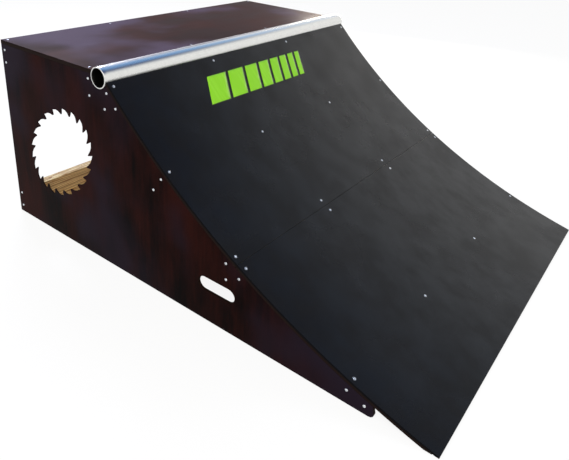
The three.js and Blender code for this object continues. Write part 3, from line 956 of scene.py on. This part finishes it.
def galvanised_steel(name):
    """Galvanised pipe: grey zinc with a soft spangle, drawn lines along it, and lighter where it faces up.

    The bore, nearer to the axis than the wall, is painted a dull darker grey, as painted shade inside the
    pipe.
    """
    material, tree = new_material(name)
    where = add(tree, "TexCoord")
    place = where.outputs["Object"]
    spangle = add(tree, "TexVoronoi", {"Vector": place, "Scale": 1 / SPANGLE_SIZE})
    zinc = add(
        tree,
        "Mix",
        {BY: spangle.outputs["Color"], FROM: linear(ZINC_SPANGLE[0]), TO: linear(ZINC_SPANGLE[1])},
        data_type="RGBA",
    )
    facing = add(tree, "SeparateXYZ", {0: where.outputs["Normal"]})
    crown = add(
        tree,
        "MapRange",
        {"Value": facing.outputs["Z"], "From Min": 0.55, "From Max": 0.95},
        interpolation_type="SMOOTHSTEP",
    )
    lighter_on_top = add(
        tree,
        "Mix",
        {BY: crown.outputs[0], FROM: zinc.outputs[MIXED], TO: linear(STEEL_FACING_UP)},
        data_type="RGBA",
    )
    # Painted shade: the bore is painted a darker grey than the wall.
    from_axis = (0.0, PIPE_SETBACK - back_edge, -PIPE_HEIGHT)
    spoke = add(tree, "Mapping", {"Vector": place, "Location": from_axis, "Scale": (0.0, 1.0, 1.0)})
    reach = add(tree, "VectorMath", {0: spoke.outputs[0]}, operation="LENGTH")
    bore = add(
        tree,
        "Math",
        {0: reach.outputs["Value"], 1: PIPE_RADIUS - BORE_START_SHARE * PIPE_WALL},
        operation="LESS_THAN",
    )
    colour = add(
        tree,
        "Mix",
        {BY: bore.outputs[0], FROM: lighter_on_top.outputs[MIXED], TO: linear(SHADED_BORE)},
        data_type="RGBA",
    )
    handled_place = add(tree, "Mapping", {"Vector": place, "Scale": cells(HANDLED_SIZE)})
    handled = add(tree, "TexNoise", {"Vector": handled_place.outputs[0], "Scale": 1.0, "Detail": 3.0})
    gloss = add(
        tree,
        "MapRange",
        {"Value": handled.outputs["Fac"], "From Min": 0.3, "From Max": 0.7, "To Min": 0.24, "To Max": 0.32},
    )
    line_place = add(tree, "Mapping", {"Vector": place, "Scale": cells(DRAWN_LINE_SIZE)})
    drawn = add(tree, "TexNoise", {"Vector": line_place.outputs[0], "Scale": 1.0, "Detail": 2.0})
    bump = add(tree, "Bump", {"Strength": 0.1, "Distance": DRAWN_RELIEF, "Height": drawn.outputs["Fac"]})
    shader = add(
        tree,
        "BsdfPrincipled",
        {
            "Base Color": colour.outputs[MIXED],
            "Metallic": 1.0,
            "Roughness": gloss.outputs[0],
            "Normal": bump.outputs[0],
        },
    )
    add(tree, "OutputMaterial", {"Surface": shader.outputs[0]})
    return material


def pipe_surface(name, material):
    """A pipe: its wall's closed section, as length along X and radius, carried round the axis.

    The section runs out along the outside and back along the bore, with eased rims.
    """
    rim = RIM_SHARES * PIPE_EASE
    middle = np.linspace(-RING_REACH_SHARE, RING_REACH_SHARE, PIPE_RINGS) * PIPE_HALF_LENGTH
    x = np.concatenate([rim[::-1] - PIPE_HALF_LENGTH, middle, PIPE_HALF_LENGTH - rim])
    drawn_in = np.concatenate([rim, np.zeros(PIPE_RINGS), rim[::-1]])
    along = np.concatenate([x, x[::-1]])
    radius = np.concatenate([PIPE_RADIUS - drawn_in, PIPE_RADIUS - PIPE_WALL + drawn_in])
    turn = np.linspace(0, 2 * np.pi, PIPE_SIDES, endpoint=False)
    y = back_edge - PIPE_SETBACK + radius[:, None] * np.cos(turn)
    z = PIPE_HEIGHT + radius[:, None] * np.sin(turn)
    points = np.stack([np.broadcast_to(along[:, None], y.shape), y, z], axis=-1)
    index = np.arange(y.size).reshape(y.shape)
    after = np.roll(index, -1, axis=0)
    faces = quads(index, np.roll(index, -1, axis=1), np.roll(after, -1, axis=1), after)
    return surface(name, points.reshape(-1, 3), faces, material)


def tab_path(distance):
    """A tab's path: straight down its front face."""
    y = np.full_like(distance, back_edge - TAB_BACK - TAB_THICKNESS)
    return y, TAB_TOP - distance, -np.ones_like(distance), np.zeros_like(distance)


steel = galvanised_steel("galvanised steel")
coping = pipe_surface("coping_steel_pipe", steel)
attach(coping, "root")
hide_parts("coping_pipe")
for number, tab_x in enumerate(TAB_X, start=1):
    tab = eased_sheet(
        "coping_tab_%d" % number,
        tab_path,
        (tab_x - TAB_WIDTH / 2, TAB_TOP - TAB_FOOT, TAB_WIDTH),
        TAB_THICKNESS,
        TAB_SPACING,
        SHEET_EASE,
        ([TAB_TOP - h for h in TAB_SCREW_HEIGHTS], [tab_x]),
        steel,
    )
    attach(tab, "root")
    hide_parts("coping_pipe")

# The screws: countersunk, bright zinc plated, with a cross recess, driven home by hand, so that each
# cross is turned at random. They stand in the seats of the ride surface, the deck and the tabs.
HEAD_RADIUS = 4.0 * MM
HEAD_DEPTH = 2.6 * MM
HEAD_EDGE = 0.15 * MM
HEAD_PROUD = 0.25 * MM
HEAD_RING_SHARES = np.array([0.02, 0.12, 0.25, 0.4, 0.55, 0.66, 0.9, 1.0])
SHANK_RADIUS = 2.1 * MM
SHANK_SHARE = 0.85
TIP_RADIUS = 0.05 * MM
SCREW_LENGTH = 40.0 * MM
TAB_SCREW_LENGTH = 25.0 * MM
RECESS_REACH = 2.3 * MM
RECESS_HALF = 0.5 * MM
RECESS_DEPTH = 1.5 * MM
RECESS_WALL_SHARE = 0.6
SCREW_SIDES = 32
ZINC_PLATE = ("#c2c7cc", "#e6e8ea")
HANDLING_SIZE = 3.846 * MM
RIDE_ROWS = ("top_screw", "mid_screw", "seam_upper_screw", "seam_lower_screw", "nose_screw")
DECK_ROWS = ("deck_back_screw", "deck_front_screw")
chance = np.random.default_rng(7)


def screws(name, points, outward, length, proud, material):
    """Screws as rings of points round their axes, all at once, each at its point and facing outward.

    The head is a low dome, whose height falls by the fourth power of a ring's share of its radius. The
    cross is sunk into it by how far the ring is inside an arm, over the recess wall's share of the
    arm's half width, up to the full depth. An arm reaches as far out as half its width over the sine
    of the turn from its middle, or its full reach. Strips of faces close the first and last rings.
    """
    around = np.linspace(0, 2 * np.pi, SCREW_SIDES, endpoint=False)
    from_arm = np.abs((around + np.pi / 4) % (np.pi / 2) - np.pi / 4)
    arm = np.minimum(RECESS_REACH, RECESS_HALF / np.maximum(np.sin(from_arm), 0.01))
    reach = HEAD_RING_SHARES * HEAD_RADIUS
    inside = np.clip((arm[None, :] - reach[:, None]) / (RECESS_HALF * RECESS_WALL_SHARE), 0, 1)
    dome = proud * (1 - (reach / HEAD_RADIUS) ** 4)[:, None]
    top = dome - RECESS_DEPTH * inside
    below = np.array([-HEAD_EDGE, -HEAD_DEPTH, -length * SHANK_SHARE, -length])
    radius = np.concatenate([reach, [HEAD_RADIUS, SHANK_RADIUS, SHANK_RADIUS, TIP_RADIUS]])
    height = np.concatenate([top, np.repeat(below[:, None], SCREW_SIDES, axis=1)])
    count = len(points)
    spin = chance.uniform(0, 2 * np.pi, count)
    aside = np.cross(outward, np.where(np.abs(outward[:, :1]) > 0.9, [[0, 1, 0]], [[1, 0, 0]]))
    aside /= np.linalg.norm(aside, axis=1, keepdims=True)
    third = np.cross(outward, aside)
    angle = around[None, :] + spin[:, None]
    ring = aside[:, None] * np.cos(angle)[..., None] + third[:, None] * np.sin(angle)[..., None]
    made = (
        points[:, None, None]
        + ring[:, None] * radius[None, :, None, None]
        + outward[:, None, None] * height[None, :, :, None]
    )
    rings = len(radius)
    index = np.arange(count * rings * SCREW_SIDES).reshape(count, rings, SCREW_SIDES)
    beside = np.roll(index, -1, axis=2)
    first, last = index[:, 0], index[:, -1]
    k = np.arange(SCREW_SIDES // 2 - 1)
    faces = [
        quads(index[:, :-1], index[:, 1:], beside[:, 1:], beside[:, :-1]),
        quads(first[:, k], first[:, k + 1], first[:, -2 - k], first[:, -1 - k]),
        quads(last[:, -1 - k], last[:, -2 - k], last[:, k + 1], last[:, k]),
    ]
    return surface(name, made.reshape(-1, 3), np.concatenate(faces), material)


def zinc_plate(name):
    """Bright zinc on steel: pale, faintly blue, a little cloudy from handling."""
    material, tree = new_material(name)
    place = add(tree, "TexCoord").outputs["Object"]
    cloud = add(tree, "TexNoise", {"Vector": place, "Scale": 1 / HANDLING_SIZE, "Detail": 2.0})
    colour = add(
        tree,
        "Mix",
        {BY: cloud.outputs["Fac"], FROM: linear(ZINC_PLATE[0]), TO: linear(ZINC_PLATE[1])},
        data_type="RGBA",
    )
    gloss = add(tree, "MapRange", {"Value": cloud.outputs["Fac"], "To Min": 0.2, "To Max": 0.42})
    shader = add(
        tree,
        "BsdfPrincipled",
        {"Base Color": colour.outputs[MIXED], "Metallic": 1.0, "Roughness": gloss.outputs[0]},
    )
    add(tree, "OutputMaterial", {"Surface": shader.outputs[0]})
    return material


zinc = zinc_plate("bright zinc plate")
ride_turns = turn_at(np.array(RIDE_SCREW_SETBACKS))
ride_y, ride_z = on_arc(ride_turns, 0)
columns, rows = np.meshgrid(screw_columns, np.arange(len(ride_turns)))
columns, rows = columns.ravel(), rows.ravel()
ride_points = np.stack([columns, ride_y[rows], ride_z[rows]], axis=1)
ride_outward = np.stack([np.zeros(rows.size), -np.sin(ride_turns)[rows], np.cos(ride_turns)[rows]], axis=1)
ride_screws = screws("ride_screws", ride_points, ride_outward, SCREW_LENGTH, HEAD_PROUD, zinc)
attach(ride_screws, "root")
for row_name in RIDE_ROWS:
    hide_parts(*["%s_%d" % (row_name, i) for i in range(1, 5)])

columns, rows = np.meshgrid(screw_columns, np.array(DECK_SCREW_ROWS))
deck_points = np.stack([columns.ravel(), back_edge - rows.ravel(), np.full(rows.size, DECK_TOP)], axis=1)
upward = np.tile([0.0, 0.0, 1.0], (rows.size, 1))
deck_screws = screws("deck_screws", deck_points, upward, SCREW_LENGTH, HEAD_PROUD, zinc)
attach(deck_screws, "root")
for row_name in DECK_ROWS:
    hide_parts(*["%s_%d" % (row_name, i) for i in range(1, 5)])

columns, rows = np.meshgrid(np.array(TAB_X), np.array(TAB_SCREW_HEIGHTS))
tab_front = np.full(rows.size, back_edge - TAB_BACK - TAB_THICKNESS)
tab_points = np.stack([columns.ravel(), tab_front, rows.ravel()], axis=1)
forward = np.tile([0.0, -1.0, 0.0], (rows.size, 1))
tab_screws = screws("tab_screws", tab_points, forward, TAB_SCREW_LENGTH, HEAD_PROUD, zinc)
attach(tab_screws, "root")
for i in range(1, 4):
    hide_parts("tab_screw_%d_1" % i, "tab_screw_%d_2" % i)

# The side screws: pan headed, driven through each panel into the ends of the joists and battens.
# Each has a setback from the back edge and a height over the floor, in millimetres.
SIDE_SCREWS = (
    (17.5, 570.4),
    (17.5, 530.6),
    (17.5, 73.0),
    (17.5, 25.0),
    (429.0, 571.9),
    (430.5, 523.2),
    (505.1, 547.0),
    (539.7, 512.0),
    (494.1, 499.5),
    (709.9, 362.4),
    (680.2, 321.9),
    (938.4, 208.5),
    (981.8, 182.5),
    (940.0, 161.1),
    (1305.2, 38.3),
    (1353.0, 22.3),
)
PAN_PROUD = 1.7 * MM
PAN_CLEARANCE = 0.3 * MM
side_places = np.array(SIDE_SCREWS) * MM
for side, way in (("left", -1.0), ("right", 1.0)):
    face = np.full(len(side_places), way * (HALF_WIDTH + PAN_CLEARANCE))
    points = np.stack([face, back_edge - side_places[:, 0], side_places[:, 1]], axis=1)
    sideways = np.tile([way, 0.0, 0.0], (len(points), 1))
    side_screws = screws("side_screws_" + side, points, sideways, SCREW_LENGTH, PAN_PROUD, zinc)
    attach(side_screws, "root")

# The decal: slanted bars cut from lime green vinyl on a thin black one, stuck to the upper sheet
# below the coping.
BAR_WIDTHS = np.array([84, 71, 59, 50, 42, 35, 30, 25]) * MM
BAR_GAP = 13.0 * MM
BAR_SLANT = 46.0 * MM
BAR_FROM_X = -262.0 * MM
BAR_TOP_SETBACK = 553.0 * MM
BAR_FOOT_SETBACK = 620.0 * MM
BAR_ROWS = 13
BAR_COLUMNS = 9
OUTLINE = 3.0 * MM
VINYL = 0.12 * MM
GLUE = 0.05 * MM
BLACK_VINYL = ("#0c0f0c", "#1c1f1c")
GREEN_VINYL = ("#8fdc22", "#a6ee45")
SCUFF_SIZE = (8.33 * MM, 125.0 * MM, 125.0 * MM)


def vinyl_bars(name, edges, top, foot, above, material):
    """Closed bars on the ride arc, a vinyl's thickness over a height above it.

    Across a bar X runs between its edges. Down it the turn falls from top to foot, and X moves back
    by the slant times the share of the way from the green bars' top to their foot.
    """
    down = np.linspace(0, 1, BAR_ROWS)[:, None]
    over = np.linspace(0, 1, BAR_COLUMNS)[None, :]
    turn = top + (foot - top) * down
    slant = BAR_SLANT * (turn - bar_top) / (bar_foot - bar_top)
    points, faces, base = [], [], 0
    for left, right in edges:
        x = left + (right - left) * over - slant
        for lift in (above + VINYL, above):
            y, z = on_arc(turn, lift)
            skin = np.stack([x, np.broadcast_to(y, x.shape), np.broadcast_to(z, x.shape)], axis=-1)
            points.append(skin.reshape(-1, 3))
        index = np.arange(x.size).reshape(x.shape) + base
        under = index + x.size
        loop = np.concatenate([index[0, :-1], index[:-1, -1], index[-1, :0:-1], index[:0:-1, 0]])
        low = loop + x.size
        faces += [
            quads(index[:-1, :-1], index[1:, :-1], index[1:, 1:], index[:-1, 1:]),
            quads(under[:-1, :-1], under[:-1, 1:], under[1:, 1:], under[1:, :-1]),
            quads(loop, np.roll(loop, -1), np.roll(low, -1), low),
        ]
        base += 2 * x.size
    return surface(name, np.concatenate(points), np.concatenate(faces), material)


def cast_vinyl(name, colours, rough):
    """Cast vinyl film: even colour, slightly paler where it is scuffed, with a soft gloss."""
    material, tree = new_material(name)
    place = add(tree, "TexCoord").outputs["Object"]
    scuff_place = add(tree, "Mapping", {"Vector": place, "Scale": cells(SCUFF_SIZE)})
    scuff = add(tree, "TexNoise", {"Vector": scuff_place.outputs[0], "Scale": 1.0, "Detail": 4.0})
    pale = add(tree, "MapRange", {"Value": scuff.outputs["Fac"], "From Min": 0.5, "From Max": 0.9})
    colour = add(
        tree,
        "Mix",
        {BY: pale.outputs[0], FROM: linear(colours[0]), TO: linear(colours[1])},
        data_type="RGBA",
    )
    gloss = add(
        tree,
        "MapRange",
        {"Value": scuff.outputs["Fac"], "To Min": rough[0], "To Max": rough[1]},
    )
    shader = add(
        tree,
        "BsdfPrincipled",
        {
            "Base Color": colour.outputs[MIXED],
            "Roughness": gloss.outputs[0],
            "IOR": 1.5,
            "Specular IOR Level": 0.3,
        },
    )
    add(tree, "OutputMaterial", {"Surface": shader.outputs[0]})
    return material


bar_lefts = BAR_FROM_X + np.concatenate([[0], np.cumsum(BAR_WIDTHS + BAR_GAP)[:-1]])
bar_edges = np.stack([bar_lefts, bar_lefts + BAR_WIDTHS], axis=1)
bar_top = turn_at(BAR_TOP_SETBACK)
bar_foot = turn_at(BAR_FOOT_SETBACK)
margin = OUTLINE / ARC_RADIUS
black_vinyl = cast_vinyl("black cast vinyl", BLACK_VINYL, (0.32, 0.5))
green_vinyl = cast_vinyl("lime green cast vinyl", GREEN_VINYL, (0.3, 0.48))
backing = vinyl_bars(
    "decal_backing",
    bar_edges + np.array([-OUTLINE, OUTLINE]),
    bar_top + margin,
    bar_foot - margin,
    GLUE,
    black_vinyl,
)
bars = vinyl_bars("decal_bars", bar_edges, bar_top, bar_foot, GLUE + VINYL, green_vinyl)
for vinyl in (backing, bars):
    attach(vinyl, "root")
